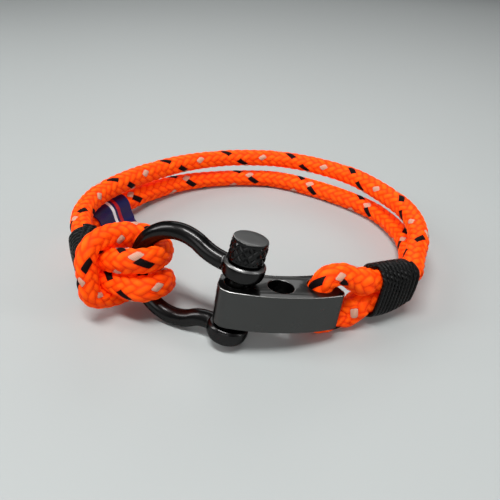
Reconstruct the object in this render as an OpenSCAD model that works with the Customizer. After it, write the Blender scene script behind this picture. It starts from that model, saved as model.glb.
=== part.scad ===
// Nautical bracelet: an endless cord doubled into two strands, whipped at both
// ends, hitched to a bow shackle and looped through the end hole of a curved bar.
// It lies on its side with the wrist opening upright. Units are millimetres.

/* [Cord] */
// Diameter of the braided cord
cord_d = 4; // [3.8:0.1:4.1]
// Sides of the cord's tube
cord_sides = 10; // [8:1:12]

/* [Shackle] */
// Diameter of the bow's wire
wire_d = 2.95; // [2.8:0.05:3.05]
// Distance from the pin's axis to the crown of the bow, on the wire's centre line
bow_reach = 18.6; // [18.5:0.05:18.75]
// Half of the bow's greatest width, on the wire's centre line
bow_half = 7.65; // [7.55:0.05:7.75]
// Inner distance between the two ears
jaw = 8.5; // [8.3:0.1:8.6]
// Diameter of each ear
ear_d = 6.8; // [6.6:0.1:7]
// Thickness of each ear
ear_t = 2.6; // [2.4:0.1:2.8]
// Diameter of the screw pin's shank
pin_d = 3.9; // [3.8:0.05:3.9]
// Diameter of the pin's knurled head
head_d = 5.8; // [5.4:0.1:6]
// Height of the pin's knurled head
head_h = 3.6; // [3.4:0.1:4]

/* [Bar] */
// Distance between neighbouring holes of the bar
hole_pitch = 6.8; // [6.8:0.05:7]
// Diameter of the bar's holes
hole_d = 4.5; // [4.5:0.05:4.6]
// Width of the bar across its holes
bar_w = 7; // [6.8:0.1:7.2]
// Height of the bar along its holes
bar_h = 6.5; // [6.3:0.1:6.5]
// Radius of the bar's curve, on the line of the holes
bar_curve = 30; // [26:1:40]
// Distance from the last hole's axis to the bar's end
bar_end = 3; // [2.9:0.1:3.1]

/* [Whippings] */
// Thickness of the thread wound round the two strands
thread_t = 0.95; // [0.8:0.05:1]
// Length of the whipping beside the shackle
left_whip_len = 7; // [6.6:0.2:7.2]
// Length of the whipping beside the bar
right_whip_len = 8.8; // [8.4:0.2:9.2]

/* [Label] */
// Width of the folded tag along the cord
tag_w = 11.6; // [10:0.4:12.4]
// Thickness of one layer of the folded tag
tag_wall = 0.35; // [0.3:0.05:0.4]

/* [Hidden] */
$fn = 48;

black = "#1b1c1e";
steel_black = "#2a2b2d";
orange = "#ff5a0a";
thread = "#141414";
navy = "#141a3c";

fit = 0.05;
cord_r = cord_d / 2;
wire_r = wire_d / 2;
pin_r = pin_d / 2;
hole_r = hole_d / 2;
strand_gap = 0.3;
strand_off = cord_r + strand_gap / 2;

// Where the middle of the pin stands, and how the shackle and the bar lean
pin_at = [-1.7, -28.6, 8.05];
lean_back = 8;
shackle_lean = 11.5;
bar_lean = 7;
bow_swing = 154.5;
hitch_swing = 154;
bar_swing = 11;

// A frame is its lean to the right and its swing about the pin
bow_frame = [shackle_lean, bow_swing];
hitch_frame = [shackle_lean, hitch_swing];
bar_frame = [bar_lean, bar_swing];
function turn_x(p, a) = [p[0], p[1] * cos(a) - p[2] * sin(a), p[1] * sin(a) + p[2] * cos(a)];
function turn_y(p, a) = [p[0] * cos(a) + p[2] * sin(a), p[1], p[2] * cos(a) - p[0] * sin(a)];
function turn_z(p, a) = [p[0] * cos(a) - p[1] * sin(a), p[0] * sin(a) + p[1] * cos(a), p[2]];
function to_world(p, frame) = pin_at + turn_y(turn_x(turn_z(p, frame[1]), -lean_back), frame[0]);
function backwards(route) = [for (i = [len(route) - 1:-1:0]) route[i]];

// Hitch about the crown, where the cord is pressed flat: [out from the crown's centre,
// towards the front, along the wire, half of the cord across the pull, half of it outwards]
hitch_turn = 16;
hitch_at = 10.6;
hitch_half = [
    [12.5, 3.1, 1.8, 1.75, 1.85], [10.2, 3.5, 2.0, 2.0, 1.75], [7.8, 3.6, 2.25, 2.2, 1.65],
    [5.7, 3.3, 2.4, 2.25, 1.6], [4.35, 2.1, 2.4, 2.2, 1.6], [3.65, 0, 2.4, 2.2, 1.6],
    [4.35, -2.5, 2.75, 2.15, 1.65], [6.6, -3.6, 3.7, 2.1, 1.75], [9.0, -3.2, 4.7, 2.0, 1.8],
    [10.9, -0.8, 5.5, 1.95, 1.8], [12.1, 2.4, 5.7, 1.9, 1.8], [12.7, 5.6, 4.8, 2.0, 1.75],
    [13.0, 6.8, 2.85, 2.05, 1.7]
];
hitch_front = [13.0, 6.9, 0, 2.05, 1.7];
function from_crown(p) = [
    hitch_at + p[0] * cos(hitch_turn) + p[2] * sin(hitch_turn), p[1],
    p[2] * cos(hitch_turn) - p[0] * sin(hitch_turn)
];

// The lower half mirrors the upper one; its outer turn lies pressed up by the floor
press_from = 2.85;
press_over = 1.85;
press_up = 0.45;
press_thin = 0.3;
function pressed(z) = min(1, max(0, (z - press_from) / press_over));
function lower_half(route) = [
    for (p = route)
        [p[0], p[1], pressed(p[2]) * press_up - p[2], p[3] - pressed(p[2]) * press_thin, p[4]]
];

// Loop in the bar's frame, through its end hole: [along, back, up, half thickness, half width]
loop_route = [
    [19.6, 1.1, 4.25, 1.85, 2.15], [17.9, 1.0, 4.95, 1.65, 2.2], [16.2, 0.6, 5.15, 1.6, 2.2],
    [14.5, 0.1, 4.7, 1.75, 2.1], [13.6, 0, 3, 2, 2], [13.6, 0, 0, 2, 2], [13.6, 0, -2.8, 1.85, 2.05],
    [14.4, -0.2, -4.2, 1.3, 1.75], [15.85, -0.15, -4.56, 1, 1.5], [17.3, 0.25, -4.33, 1, 1.5],
    [18.7, 0.7, -3.65, 1.4, 1.8], [20.1, 1.1, -2.5, 1.85, 2.0]
];

// Strands on their way round the wrist, from the left whipping to the right one
upper_route = [
    [-31.9, -9.4, 8.8], [-33.5, -2.8, 8.4], [-33, 3.6, 8.2], [-30.6, 9.4, 8.1], [-25.8, 16.8, 7.8],
    [-17.8, 24.8, 7.5], [-8.4, 29.3, 7.5], [0.3, 30.8, 7.5], [7.9, 30.4, 7.5], [16.7, 27.1, 7.5],
    [25.5, 20.5, 7.5], [32.2, 9.2, 7.5], [34.1, 1.5, 7.5], [33.35, -6.2, 7.4], [30.5, -12.4, 7.2]
];
lower_route = [
    [-32.1, -9.4, 4.3], [-33.7, -2.4, 3.6], [-32.9, 4.1, 3.3], [-29.1, 11.4, 3.1], [-25.4, 17.6, 2.7],
    [-18.7, 24.3, 2.3], [-9.7, 28.6, 2.05], [0.3, 30.2, 2.05], [7.9, 29.4, 2.05], [18.2, 24.1, 2.05],
    [27.4, 16.6, 2.05], [31.5, 10.2, 2.05], [33.6, 1.8, 2.05], [32.5, -6.2, 2.2], [29.9, -12.4, 2.6]
];

// Whippings: where the middle of each end lies, from the hardware's side outwards
left_whip = [[-26.7, -20.2, 6.8], [-29.9, -13.6, 6.9]];
right_whip = [[20.05, -22.66, 6.3], [28.3, -18.4, 5.15]];

// Point inside a whipping: share of the way from its first end, and side of the strand
function whip_dir(w) = (w[1] - w[0]) / norm(w[1] - w[0]);
function whip_up(w) = let (d = whip_dir(w), s = [d[1], -d[0], 0] / norm([d[0], d[1]])) cross(s, d);
function whip_point(w, share, side) = w[0] + share * (w[1] - w[0]) + side * strand_off * whip_up(w);

// Smooth curve through the points, with n steps between neighbours
function curve_point(a, b, c, d, t) =
    0.5 * ((2 * b) + (c - a) * t + (2 * a - 5 * b + 4 * c - d) * t * t + (3 * b - a - 3 * c + d) * t * t * t);
function smooth(p, n) = [
    for (i = [0:len(p) - 2])
        for (k = [0:n - 1])
            curve_point(p[max(i - 1, 0)], p[i], p[i + 1], p[min(i + 2, len(p) - 1)], k / n),
    p[len(p) - 1]
];

// Tube swept along a path, its rings turned as little as possible from one to the next
function unit(v) = v / norm(v);
function tangents(p) = [for (i = [0:len(p) - 1]) unit(p[min(i + 1, len(p) - 1)] - p[max(i - 1, 0)])];
function carried(side, t) = unit(side - (side * t) * t);
function sides_along(t, i, side) =
    i == len(t) ? [] : let (s = carried(side, t[i])) concat([s], sides_along(t, i + 1, s));
function ring_at(p, t, s, outline) = [for (q = outline) p + q[0] * cross(t, s) + q[1] * s + q[2] * t];

// Skin over rings of points, each ring with as many points as the first
module skin(rings) {
    n = len(rings[0]);
    last = (len(rings) - 1) * n;
    walls = [
        for (i = [0:len(rings) - 2])
            for (k = [0:n - 1])
                let (a = i * n + k, b = i * n + (k + 1) % n)
                    [a + n, b + n, b, a]
    ];
    near_end = [for (k = [0:n - 1]) k];
    far_end = [for (k = [0:n - 1]) last + n - 1 - k];
    polyhedron(
        points = [for (ring = rings) for (q = ring) q],
        faces = concat(walls, [near_end], [far_end]),
        convexity = 6
    );
}

// Tube with its half thickness and half width given at each point of the path
module tube(path, half_t, half_w) {
    t = tangents(path);
    s = sides_along(t, 0, [0, 0, 1]);
    skin([
        for (i = [0:len(path) - 1])
            ring_at(path[i], t[i], s[i], [
                for (k = [0:cord_sides - 1])
                    [half_w[i] * sin(360 * k / cord_sides), half_t[i] * cos(360 * k / cord_sides), 0]
            ])
    ]);
}

// Strip swept along a path, its outline given as [inwards, up, along]
module strip(path, outline) {
    t = tangents(path);
    s = sides_along(t, 0, [0, 0, 1]);
    skin([for (i = [0:len(path) - 1]) ring_at(path[i], t[i], s[i], outline)]);
}

module at_pin(frame) {
    translate(pin_at)
        rotate([-lean_back, frame[0], 0])
            rotate([0, 0, frame[1]])
                children();
}

// Bow: two ears joined by a wire whose arms swell out to a round crown, which hangs a little low
ear_mid = (jaw + ear_t) / 2;
crown_at = bow_reach - bow_half;
crown_drop = 0.4;
upper_h = ear_mid + crown_drop;
lower_h = ear_mid - crown_drop;
stub_start = 2.3;
arm_start = 3.2;
stub_r = wire_r + 0.03;
stub_overlap = 0.15;
arm_r = wire_r - 0.03;
arm_overlap = 1;
function arm_curve(h) = (pow(crown_at - arm_start, 2) + pow(h, 2) - pow(bow_half, 2)) / (2 * (bow_half - h));
function crown_turn(h) = atan2(h + arm_curve(h), arm_start - crown_at);
ear_edge = 0.5;

module ear() {
    rotate_extrude()
        polygon([
            [pin_r + fit, -ear_t / 2], [ear_d / 2 - ear_edge, -ear_t / 2], [ear_d / 2, -ear_t / 2 + ear_edge],
            [ear_d / 2, ear_t / 2 - ear_edge], [ear_d / 2 - ear_edge, ear_t / 2], [pin_r + fit, ear_t / 2]
        ]);
}

module arm(h) {
    translate([arm_start, h + arm_curve(h), 0])
        rotate([0, 0, -90])
            rotate_extrude(angle = crown_turn(h) - 90 + arm_overlap)
                translate([arm_curve(h), 0])
                    circle(r = arm_r);
    translate([stub_start, h, 0])
        rotate([0, 90, 0])
            cylinder(h = arm_start + stub_overlap - stub_start, r = stub_r);
}

module shackle_bow() {
    color(steel_black)
        at_pin(bow_frame) {
            for (s = [-1, 1])
                translate([0, 0, s * ear_mid])
                    ear();
            translate([0, 0, -crown_drop])
                rotate([90, 0, 0]) {
                    arm(upper_h);
                    mirror([0, 1, 0])
                        arm(lower_h);
                    translate([crown_at, 0, 0])
                        rotate([0, 0, -crown_turn(lower_h)])
                            rotate_extrude(angle = crown_turn(lower_h) + crown_turn(upper_h))
                                translate([bow_half, 0])
                                    circle(r = wire_r);
                }
        }
}

// Pin: a shank through both ears and the bar, under a knurled head
head_lift = 0.5;
head_at = jaw / 2 + ear_t + head_lift;
module shackle_pin() {
    color(black)
        at_pin(bow_frame) {
            translate([0, 0, -jaw / 2 - ear_t])
                cylinder(h = jaw + 2 * ear_t + head_lift, r = pin_r);
            translate([0, 0, jaw / 2 + ear_t + fit])
                cylinder(h = head_lift, r = head_d / 2 - 0.7);
            translate([0, 0, head_at])
                rotate_extrude()
                    polygon([
                        [0, 0], [head_d / 2 - 0.4, 0], [head_d / 2, 0.8], [head_d / 2, head_h - 1],
                        [head_d / 2 - 0.35, head_h - 0.2], [head_d / 2 - 0.6, head_h], [0, head_h]
                    ]);
        }
}

// Bar: a flat block curved to the wrist, with three holes and rounded ends
hole_turn = 2 * asin(hole_pitch / 2 / bar_curve);
bar_turn = hole_turn + bar_end / bar_curve * 180 / PI;
corners = [[-1, 2.4], [1, 1.3]];
half_overlap = 1;

module sector(r_in, r_out, side, end) {
    intersection() {
        difference() {
            circle(r = r_out, $fn = 180);
            circle(r = r_in, $fn = 180);
        }
        polygon([
            [0, 0], 2 * r_out * [-side * sin(half_overlap), -cos(half_overlap)],
            2 * r_out * [side * sin(end), -cos(end)]
        ]);
    }
}

module half_plan(side, corner_r) {
    corner_turn = corner_r / bar_curve * 180 / PI;
    inner = bar_curve - bar_w / 2;
    outer = bar_curve + bar_w / 2;
    sector(inner, outer, side, bar_turn - corner_turn);
    sector(inner + corner_r, outer - corner_r, side, bar_turn);
    for (r = [inner + corner_r, outer - corner_r])
        rotate(side * (bar_turn - corner_r / r * 180 / PI))
            translate([0, -r])
                circle(r = corner_r);
}

module bar_plan() {
    for (c = corners)
        half_plan(c[0], c[1]);
}

module adjuster_bar() {
    color(black)
        at_pin(bar_frame)
            translate([0, 0, -bar_h / 2])
                difference() {
                    translate([bar_curve * sin(hole_turn), bar_curve * cos(hole_turn), 0])
                        linear_extrude(bar_h)
                            bar_plan();
                    for (k = [-1:1])
                        translate([
                            bar_curve * (sin(hole_turn) + sin(k * hole_turn)),
                            bar_curve * (cos(hole_turn) - cos(k * hole_turn)),
                            -1
                        ])
                            cylinder(h = bar_h + 2, r = hole_r);
                }
}

// Cord: four stretches of one endless length, which meet inside the whippings
seam = 0.49;
function all_round(path, r) = [for (p = path) r];
function column(rows, k) = [for (p = rows) p[k]];
function places(rows) = [for (p = rows) [p[0], p[1], p[2]]];
function whip_points(w, shares, side) = [for (share = shares) whip_point(w, share, side)];
function whip_rows(w, shares, side) = [for (p = whip_points(w, shares, side)) concat(p, [cord_r, cord_r])];

module pressed_cord(rows) {
    fine = smooth(rows, 2);
    tube(places(fine), column(fine, 3), column(fine, 4));
}

function hitch_rows() =
    let (turns = concat(hitch_half, [hitch_front], backwards(lower_half(hitch_half))))
        concat(
            whip_rows(left_whip, [seam, -0.04, -0.2], 1),
            [for (p = turns) concat(to_world(from_crown(p), hitch_frame), [p[3], p[4]])],
            whip_rows(left_whip, [-0.2, -0.04, seam], -1)
        );

module bow_hitch() {
    color(orange)
        pressed_cord(hitch_rows());
}

function loop_rows() =
    concat(
        whip_rows(right_whip, [seam, 0, -0.1], 1),
        [for (p = loop_route) concat(to_world([p[0], p[1], p[2]], bar_frame), [p[3], p[4]])],
        whip_rows(right_whip, [-0.1, 0, seam], -1)
    );

module bar_loop() {
    color(orange)
        pressed_cord(loop_rows());
}

function strand_path(route, side) =
    concat(
        whip_points(left_whip, [1 - seam, 1.04, 1.2], side),
        route,
        whip_points(right_whip, [1.1, 1, 1 - seam], side)
    );

module strand(route, side) {
    path = smooth(strand_path(route, side), 2);
    color(orange)
        tube(path, all_round(path, cord_r), all_round(path, cord_r));
}

module upper_strand() {
    strand(upper_route, 1);
}

module lower_strand() {
    strand(lower_route, -1);
}

// Whipping: thread wound round both strands, hollow where they pass
module along(w) {
    d = whip_dir(w);
    translate((w[0] + w[1]) / 2)
        rotate([0, 0, atan2(d[1], d[0])])
            rotate([0, 90 - asin(d[2]), 0])
                children();
}

module oval(r) {
    for (s = [-1, 1])
        translate([s * strand_off, 0])
            circle(r = r);
    square([2 * strand_off, 2 * r], center = true);
}

module whipping(w, length) {
    along(w)
        translate([0, 0, -length / 2])
            linear_extrude(length)
                difference() {
                    oval(cord_r + fit + thread_t);
                    oval(cord_r + fit);
                }
}

module left_whipping() {
    color(thread)
        whipping(left_whip, left_whip_len);
}

module right_whipping() {
    color(thread)
        whipping(right_whip, right_whip_len);
}

// Tag: a ribbon folded round the lower strand, its doubled end hanging in to the floor
tag_mid = 2.1;
tag_step = tag_w / 30;
tag_clear = 0.2;
tag_root = [2.3, -0.3, 0];
tag_knee = [2.9, -2.7, 0];
tag_tip = [6.6, -2.7, -2];
function route_at(route, t) =
    let (i = floor(t)) curve_point(route[i - 1], route[i], route[i + 1], route[i + 2], t - i);
function band(a, b) =
    let (d = unit([b[0] - a[0], b[1] - a[1]]), n = tag_wall * [-d[1], d[0], 0]) [a + n, b + n, b - n, a - n];

function tag_path(steps) = [for (k = steps) route_at(lower_route, tag_mid + k * tag_step)];

module tag_sleeve(path, r) {
    tube(path, all_round(path, r), all_round(path, r));
}

module label_tag() {
    path = tag_path([-2:2]);
    color(navy)
        difference() {
            union() {
                tag_sleeve(path, cord_r + tag_clear + tag_wall);
                strip(path, band(tag_root, tag_knee));
                strip(path, band(tag_knee, tag_tip));
            }
            tag_sleeve(tag_path([-2.4, -2, -1, 0, 1, 2, 2.4]), cord_r + tag_clear);
        }
}

shackle_bow();
shackle_pin();
adjuster_bar();
upper_strand();
lower_strand();
bow_hitch();
bar_loop();
left_whipping();
right_whipping();
label_tag();
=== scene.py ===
"""Looks of the nautical bracelet: braided cord, black shackle and bar, whippings and tag.

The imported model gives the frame; every piece here is made in that frame, in metres.
Tables and routes are in millimetres, as in the part's own source.
"""

import math
from contextlib import contextmanager
from functools import partial

import bmesh
import bpy
import numpy as np
from mathutils import Matrix, Vector


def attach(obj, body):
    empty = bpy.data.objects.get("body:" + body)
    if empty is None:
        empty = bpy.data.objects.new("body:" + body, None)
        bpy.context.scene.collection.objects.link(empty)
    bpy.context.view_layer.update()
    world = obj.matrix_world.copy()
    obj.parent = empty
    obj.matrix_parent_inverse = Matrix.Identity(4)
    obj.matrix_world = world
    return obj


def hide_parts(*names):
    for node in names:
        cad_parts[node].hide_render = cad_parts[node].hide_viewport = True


bl_info = {
    "name": "Nautical Bracelet",
    "version": (1, 0, 0),
    "blender": (4, 5, 0),
    "location": "3D View > Sidebar > Bracelet",
    "description": "Builds the bracelet's braided cord, shackle, bar, whippings and tag",
    "category": "Add Mesh",
}

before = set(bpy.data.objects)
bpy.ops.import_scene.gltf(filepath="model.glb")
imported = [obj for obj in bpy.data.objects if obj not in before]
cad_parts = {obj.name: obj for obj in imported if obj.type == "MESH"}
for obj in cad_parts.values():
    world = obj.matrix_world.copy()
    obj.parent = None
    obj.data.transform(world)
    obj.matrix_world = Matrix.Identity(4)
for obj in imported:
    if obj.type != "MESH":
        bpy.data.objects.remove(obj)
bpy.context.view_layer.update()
MM = 0.001


def linear(code):
    """Linear colour from an sRGB hex value such as "#ff5a0a"."""
    parts = [int(code[i:i + 2], 16) / 255 for i in (1, 3, 5)]
    return tuple(c / 12.92 if c <= 0.04045 else ((c + 0.055) / 1.055) ** 2.4 for c in parts)


# Places, as in the part's source

PIN_AT = np.array([-1.7, -28.6, 8.05])
LEAN_BACK = 8
BOW_FRAME = (11.5, 154.5)
BAR_FRAME = (7, 11)
CROWN_AT = 10.95
CROWN_R = 7.65
CROWN_DROP = 0.4
HITCH_FRAME = (11.5, 154)
HITCH_AT = 10.6
HITCH_TURN = 16
PRESS_FROM = 2.85
PRESS_OVER = 1.85
PRESS_UP = 0.45
PRESS_THIN = 0.3
CORD_R = 2.0
STRAND_OFF = 2.15
SEAM = 0.49

HITCH_HALF = [
    [12.5, 3.1, 1.8, 1.75, 1.85], [10.2, 3.5, 2.0, 2.0, 1.75], [7.8, 3.6, 2.25, 2.2, 1.65],
    [5.7, 3.3, 2.4, 2.25, 1.6], [4.35, 2.1, 2.4, 2.2, 1.6], [3.65, 0, 2.4, 2.2, 1.6],
    [4.35, -2.5, 2.75, 2.15, 1.65], [6.6, -3.6, 3.7, 2.1, 1.75], [9.0, -3.2, 4.7, 2.0, 1.8],
    [10.9, -0.8, 5.5, 1.95, 1.8], [12.1, 2.4, 5.7, 1.9, 1.8], [12.7, 5.6, 4.8, 2.0, 1.75],
    [13.0, 6.8, 2.85, 2.05, 1.7],
]
HITCH_FRONT = [13.0, 6.9, 0, 2.05, 1.7]
LOOP_ROUTE = [
    [19.6, 1.1, 4.25, 1.85, 2.15], [17.9, 1.0, 4.95, 1.65, 2.2], [16.2, 0.6, 5.15, 1.6, 2.2],
    [14.5, 0.1, 4.7, 1.75, 2.1], [13.6, 0, 3, 2, 2], [13.6, 0, 0, 2, 2], [13.6, 0, -2.8, 1.85, 2.05],
    [14.4, -0.2, -4.2, 1.3, 1.75], [15.85, -0.15, -4.56, 1, 1.5], [17.3, 0.25, -4.33, 1, 1.5],
    [18.7, 0.7, -3.65, 1.4, 1.8], [20.1, 1.1, -2.5, 1.85, 2.0],
]
UPPER_ROUTE = [
    [-31.9, -9.4, 8.8], [-33.5, -2.8, 8.4], [-33, 3.6, 8.2], [-30.6, 9.4, 8.1], [-25.8, 16.8, 7.8],
    [-17.8, 24.8, 7.5], [-8.4, 29.3, 7.5], [0.3, 30.8, 7.5], [7.9, 30.4, 7.5], [16.7, 27.1, 7.5],
    [25.5, 20.5, 7.5], [32.2, 9.2, 7.5], [34.1, 1.5, 7.5], [33.35, -6.2, 7.4], [30.5, -12.4, 7.2],
]
LOWER_ROUTE = [
    [-32.1, -9.4, 4.3], [-33.7, -2.4, 3.6], [-32.9, 4.1, 3.3], [-29.1, 11.4, 3.1], [-25.4, 17.6, 2.7],
    [-18.7, 24.3, 2.3], [-9.7, 28.6, 2.05], [0.3, 30.2, 2.05], [7.9, 29.4, 2.05], [18.2, 24.1, 2.05],
    [27.4, 16.6, 2.05], [31.5, 10.2, 2.05], [33.6, 1.8, 2.05], [32.5, -6.2, 2.2], [29.9, -12.4, 2.6],
]
# Soft cord swells where it is free and is pressed flat in the right whipping: millimetres that a stretch's
# half thickness and half width are fuller by in the looks, at these of its rows
FULLER = {
    "upper_strand": {5: 0.1, 6: 0.15, 7: 0.2, 8: 0.1, 13: 0.1, 14: 0.1},
    "lower_strand": {6: 0.2, 7: 0.25, 8: 0.15, 11: 0.1, 12: 0.15, 13: 0.1, 17: [-0.3, -0.2], 18: [-0.8, -0.2],
                     19: [-0.8, 0]},
    "bow_hitch": {3: 0.1, 4: 0.15, 5: 0.15, 10: 0.15, 11: 0.35, 12: 0.4, 13: 0.2},
    "bar_loop": {1: 0.1, 2: 0.45, 3: 0.2, 4: 0.1, 14: 0.15, 15: 0.5, 16: 0.15},
}
# Soft cord gives way: millimetres that rows of a stretch lie elsewhere in the looks, [x, y, z]
GIVEN_WAY = {
    "upper_strand": {17: [0.5, 0, 0], 18: [-0.35, 0, 0]},
    "lower_strand": {16: [0, 0, 0.3], 17: [0.6, 0.3, 1.4], 18: [-0.7, 0.3, 1.7], 19: [-0.3, 0.3, 1.8]},
    "bow_hitch": {10: [0, -0.1, -0.04], 11: [0, -0.3, -0.12], 12: [0, -0.35, -0.14],
                  13: [0, -0.2, -0.08]},
    "bar_loop": {13: [0, 0, -0.1], 14: [0, 0, -0.6], 15: [0, 0, -0.5]},
}
LEFT_WHIP = np.array([[-26.7, -20.2, 6.8], [-29.9, -13.6, 6.9]])
RIGHT_WHIP = np.array([[20.05, -22.66, 6.3], [28.3, -18.4, 5.15]])


def turned(axis, degrees):
    """Rotation matrix about an axis."""
    return np.array(Matrix.Rotation(math.radians(degrees), 3, axis))


def axes_of(place):
    """Rotation of the bow's or the bar's frame: its lean to the right and its swing about the pin."""
    lean, swing = place
    return turned("Y", lean) @ turned("X", -LEAN_BACK) @ turned("Z", swing)


def to_world(points, place):
    """Points of the bow's or the bar's frame, in the row frame."""
    return PIN_AT + np.asarray(points, float) @ axes_of(place).T


def from_crown(p):
    """Point of the hitch's frame, which is turned on the crown, in the bow's frame."""
    turn = math.radians(HITCH_TURN)
    return [HITCH_AT + p[0] * math.cos(turn) + p[2] * math.sin(turn), p[1],
            p[2] * math.cos(turn) - p[0] * math.sin(turn)]


def whip_axes(whip):
    """Direction of a whipping, its sideways direction and the direction from strand to strand."""
    along = (whip[1] - whip[0]) / np.linalg.norm(whip[1] - whip[0])
    side = np.array([along[1], -along[0], 0])
    side /= np.linalg.norm(side)
    return along, side, np.cross(side, along)


def whip_rows(whip, shares, side):
    """Rows of the strand on one side of a whipping, at shares of its length."""
    up = whip_axes(whip)[2]
    return [[*(whip[0] + share * (whip[1] - whip[0]) + side * STRAND_OFF * up), CORD_R, CORD_R]
            for share in shares]


def strand_rows(route, side):
    """Rows [x, y, z, half thickness, half width] of a strand, from one whipping's inside to the other's."""
    return (whip_rows(LEFT_WHIP, [1 - SEAM, 1.04, 1.2], side)
            + [[*p, CORD_R, CORD_R] for p in route]
            + whip_rows(RIGHT_WHIP, [1.1, 1, 1 - SEAM], side))


def turn_rows(whip, shares, turns):
    """Rows of cord that leaves a whipping as its upper strand and comes back as its lower one."""
    return whip_rows(whip, shares, 1) + turns + whip_rows(whip, shares[::-1], -1)


def hitch_rows():
    """Rows of the hitch: its lower half mirrors the upper one, and is pressed up against it."""
    mirrored = []
    for p in reversed(HITCH_HALF):
        share = min(1, max(0, (p[2] - PRESS_FROM) / PRESS_OVER))
        mirrored.append([p[0], p[1], share * PRESS_UP - p[2], p[3] - share * PRESS_THIN, p[4]])
    turns = [[*to_world(from_crown(p), HITCH_FRAME), p[3], p[4]]
             for p in HITCH_HALF + [HITCH_FRONT] + mirrored]
    return turn_rows(LEFT_WHIP, [SEAM, -0.04, -0.2], turns)


def loop_rows():
    """Rows of the loop through the bar's end hole."""
    turns = [[*to_world(p[:3], BAR_FRAME), p[3], p[4]] for p in LOOP_ROUTE]
    return turn_rows(RIGHT_WHIP, [SEAM, 0, -0.1], turns)


# Curves and skins

def between(a, b, c, d, t):
    """Place on the smooth curve from b to c at share t, with their outer neighbours a and d."""
    return 0.5 * (2 * b + (c - a) * t + (2 * a - 5 * b + 4 * c - d) * t ** 2
                  + (3 * b - a - 3 * c + d) * t ** 3)


def smooth(rows, steps):
    """Smooth curve through the rows, with this many steps between neighbours."""
    rows = np.asarray(rows, float)
    last = len(rows) - 1
    t = (np.arange(steps) / steps)[:, None]
    pieces = [between(rows[max(i - 1, 0)], rows[i], rows[i + 1], rows[min(i + 2, last)], t)
              for i in range(last)]
    return np.vstack(pieces + [rows[-1:]])


def run_along(points):
    """Length along a line of points, at each of them."""
    return np.concatenate([[0], np.cumsum(np.linalg.norm(np.diff(points, axis=0), axis=1))])


def evenly(rows, step):
    """The same curve with its rows a step apart, and the length along it at each row."""
    run = run_along(rows[:, :3])
    places = np.linspace(0, run[-1], int(round(run[-1] / step)) + 1)
    return np.column_stack([np.interp(places, run, column) for column in rows.T]), places


def carried_frames(path, side=(0, 0, 1)):
    """Tangents, side directions and their cross products along a path, turned as little as can be."""
    tangent = np.gradient(path, axis=0)
    tangent /= np.linalg.norm(tangent, axis=1)[:, None]
    sides = np.zeros_like(path)
    side = np.asarray(side, float)
    for i, t in enumerate(tangent):
        side = side - side.dot(t) * t
        side /= np.linalg.norm(side)
        sides[i] = side
    return tangent, sides, np.cross(tangent, sides)


def oval_rings(path, side, other, half_side, half_other, count):
    """Oval rings round a path, with these half sizes along its two directions."""
    angle = np.linspace(0, 2 * math.pi, count, endpoint=False)
    return (path[:, None] + (half_side[:, None] * np.cos(angle))[..., None] * side[:, None]
            + (half_other[:, None] * np.sin(angle))[..., None] * other[:, None])


def lathe(profile, segments, place, lift=0.0):
    """Rings about a frame's Z axis from a profile of [radius, height]; a radius may vary round its ring."""
    turn = np.linspace(0, 2 * math.pi, segments, endpoint=False)
    rings = [np.column_stack([r * np.cos(turn), r * np.sin(turn), np.full(segments, z + lift)])
             for r, z in profile]
    return to_world(rings, place)


@contextmanager
def edited(mesh):
    """A mesh opened for editing, and written back afterwards."""
    work = bmesh.new()
    work.from_mesh(mesh)
    yield work
    work.to_mesh(mesh)
    work.free()


def outward(mesh, gap=0.0):
    """Turns a closed mesh's faces outwards and smooths them, after joining points that lie within a gap."""
    with edited(mesh) as work:
        if gap:
            bmesh.ops.remove_doubles(work, verts=work.verts, dist=gap)
        bmesh.ops.recalc_face_normals(work, faces=work.faces)
    mesh.shade_smooth()


def sharp_over(mesh, degrees):
    """Keeps edges over this angle sharp in a smoothly shaded mesh."""
    with edited(mesh) as work:
        for edge in work.edges:
            edge.smooth = len(edge.link_faces) == 2 and edge.calc_face_angle(0) < math.radians(degrees)


def joined(meshes, name):
    """One smoothly shaded mesh of several closed shells."""
    result = bpy.data.meshes.new(name)
    with edited(result) as work:
        for mesh in meshes:
            work.from_mesh(mesh)
            bpy.data.meshes.remove(mesh)
    result.shade_smooth()
    return result


def skin(name, rings, uv=None, capped=True):
    """Closed skin over rings of points; uv holds a place for each point of each ring and for its seam.

    Rings that close on themselves, without caps, start and end with the same ring, which is joined here.
    """
    count, n = rings.shape[:2]
    i, k = np.meshgrid(np.arange(count - 1), np.arange(n), indexing="ij")
    a = (i * n + k).ravel()
    b = (i * n + (k + 1) % n).ravel()
    faces = np.column_stack([a, b, b + n, a + n]).tolist()
    points = rings.reshape(-1, 3)
    if capped:
        first, last, end = len(points), len(points) + 1, (count - 1) * n
        points = np.vstack([points, rings[0].mean(0), rings[-1].mean(0)])
        for m in range(n):
            faces.append([first, (m + 1) % n, m])
            faces.append([last, end + m, end + (m + 1) % n])
    mesh = bpy.data.meshes.new(name)
    mesh.from_pydata((points * MM).tolist(), [], faces)
    if uv is not None:
        corners = np.stack([uv[i, k], uv[i, k + 1], uv[i + 1, k + 1], uv[i + 1, k]], -2)
        values = np.zeros((len(mesh.loops), 2))
        values[:corners.size // 2] = corners.reshape(-1, 2)
        mesh.uv_layers.new(name="UVMap").data.foreach_set("uv", values.ravel())
    outward(mesh, 0 if capped else 1e-7)
    return mesh


def put(mesh, axes, at):
    """Turns a mesh by a rotation matrix and moves it to a place in mm."""
    mesh.transform(Matrix.Translation(Vector(at * MM)) @ Matrix(axes.tolist()).to_4x4())


def linked(name, data):
    """New object of this data, in the scene."""
    item = bpy.data.objects.new(name, data)
    bpy.context.scene.collection.objects.link(item)
    return item


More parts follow.
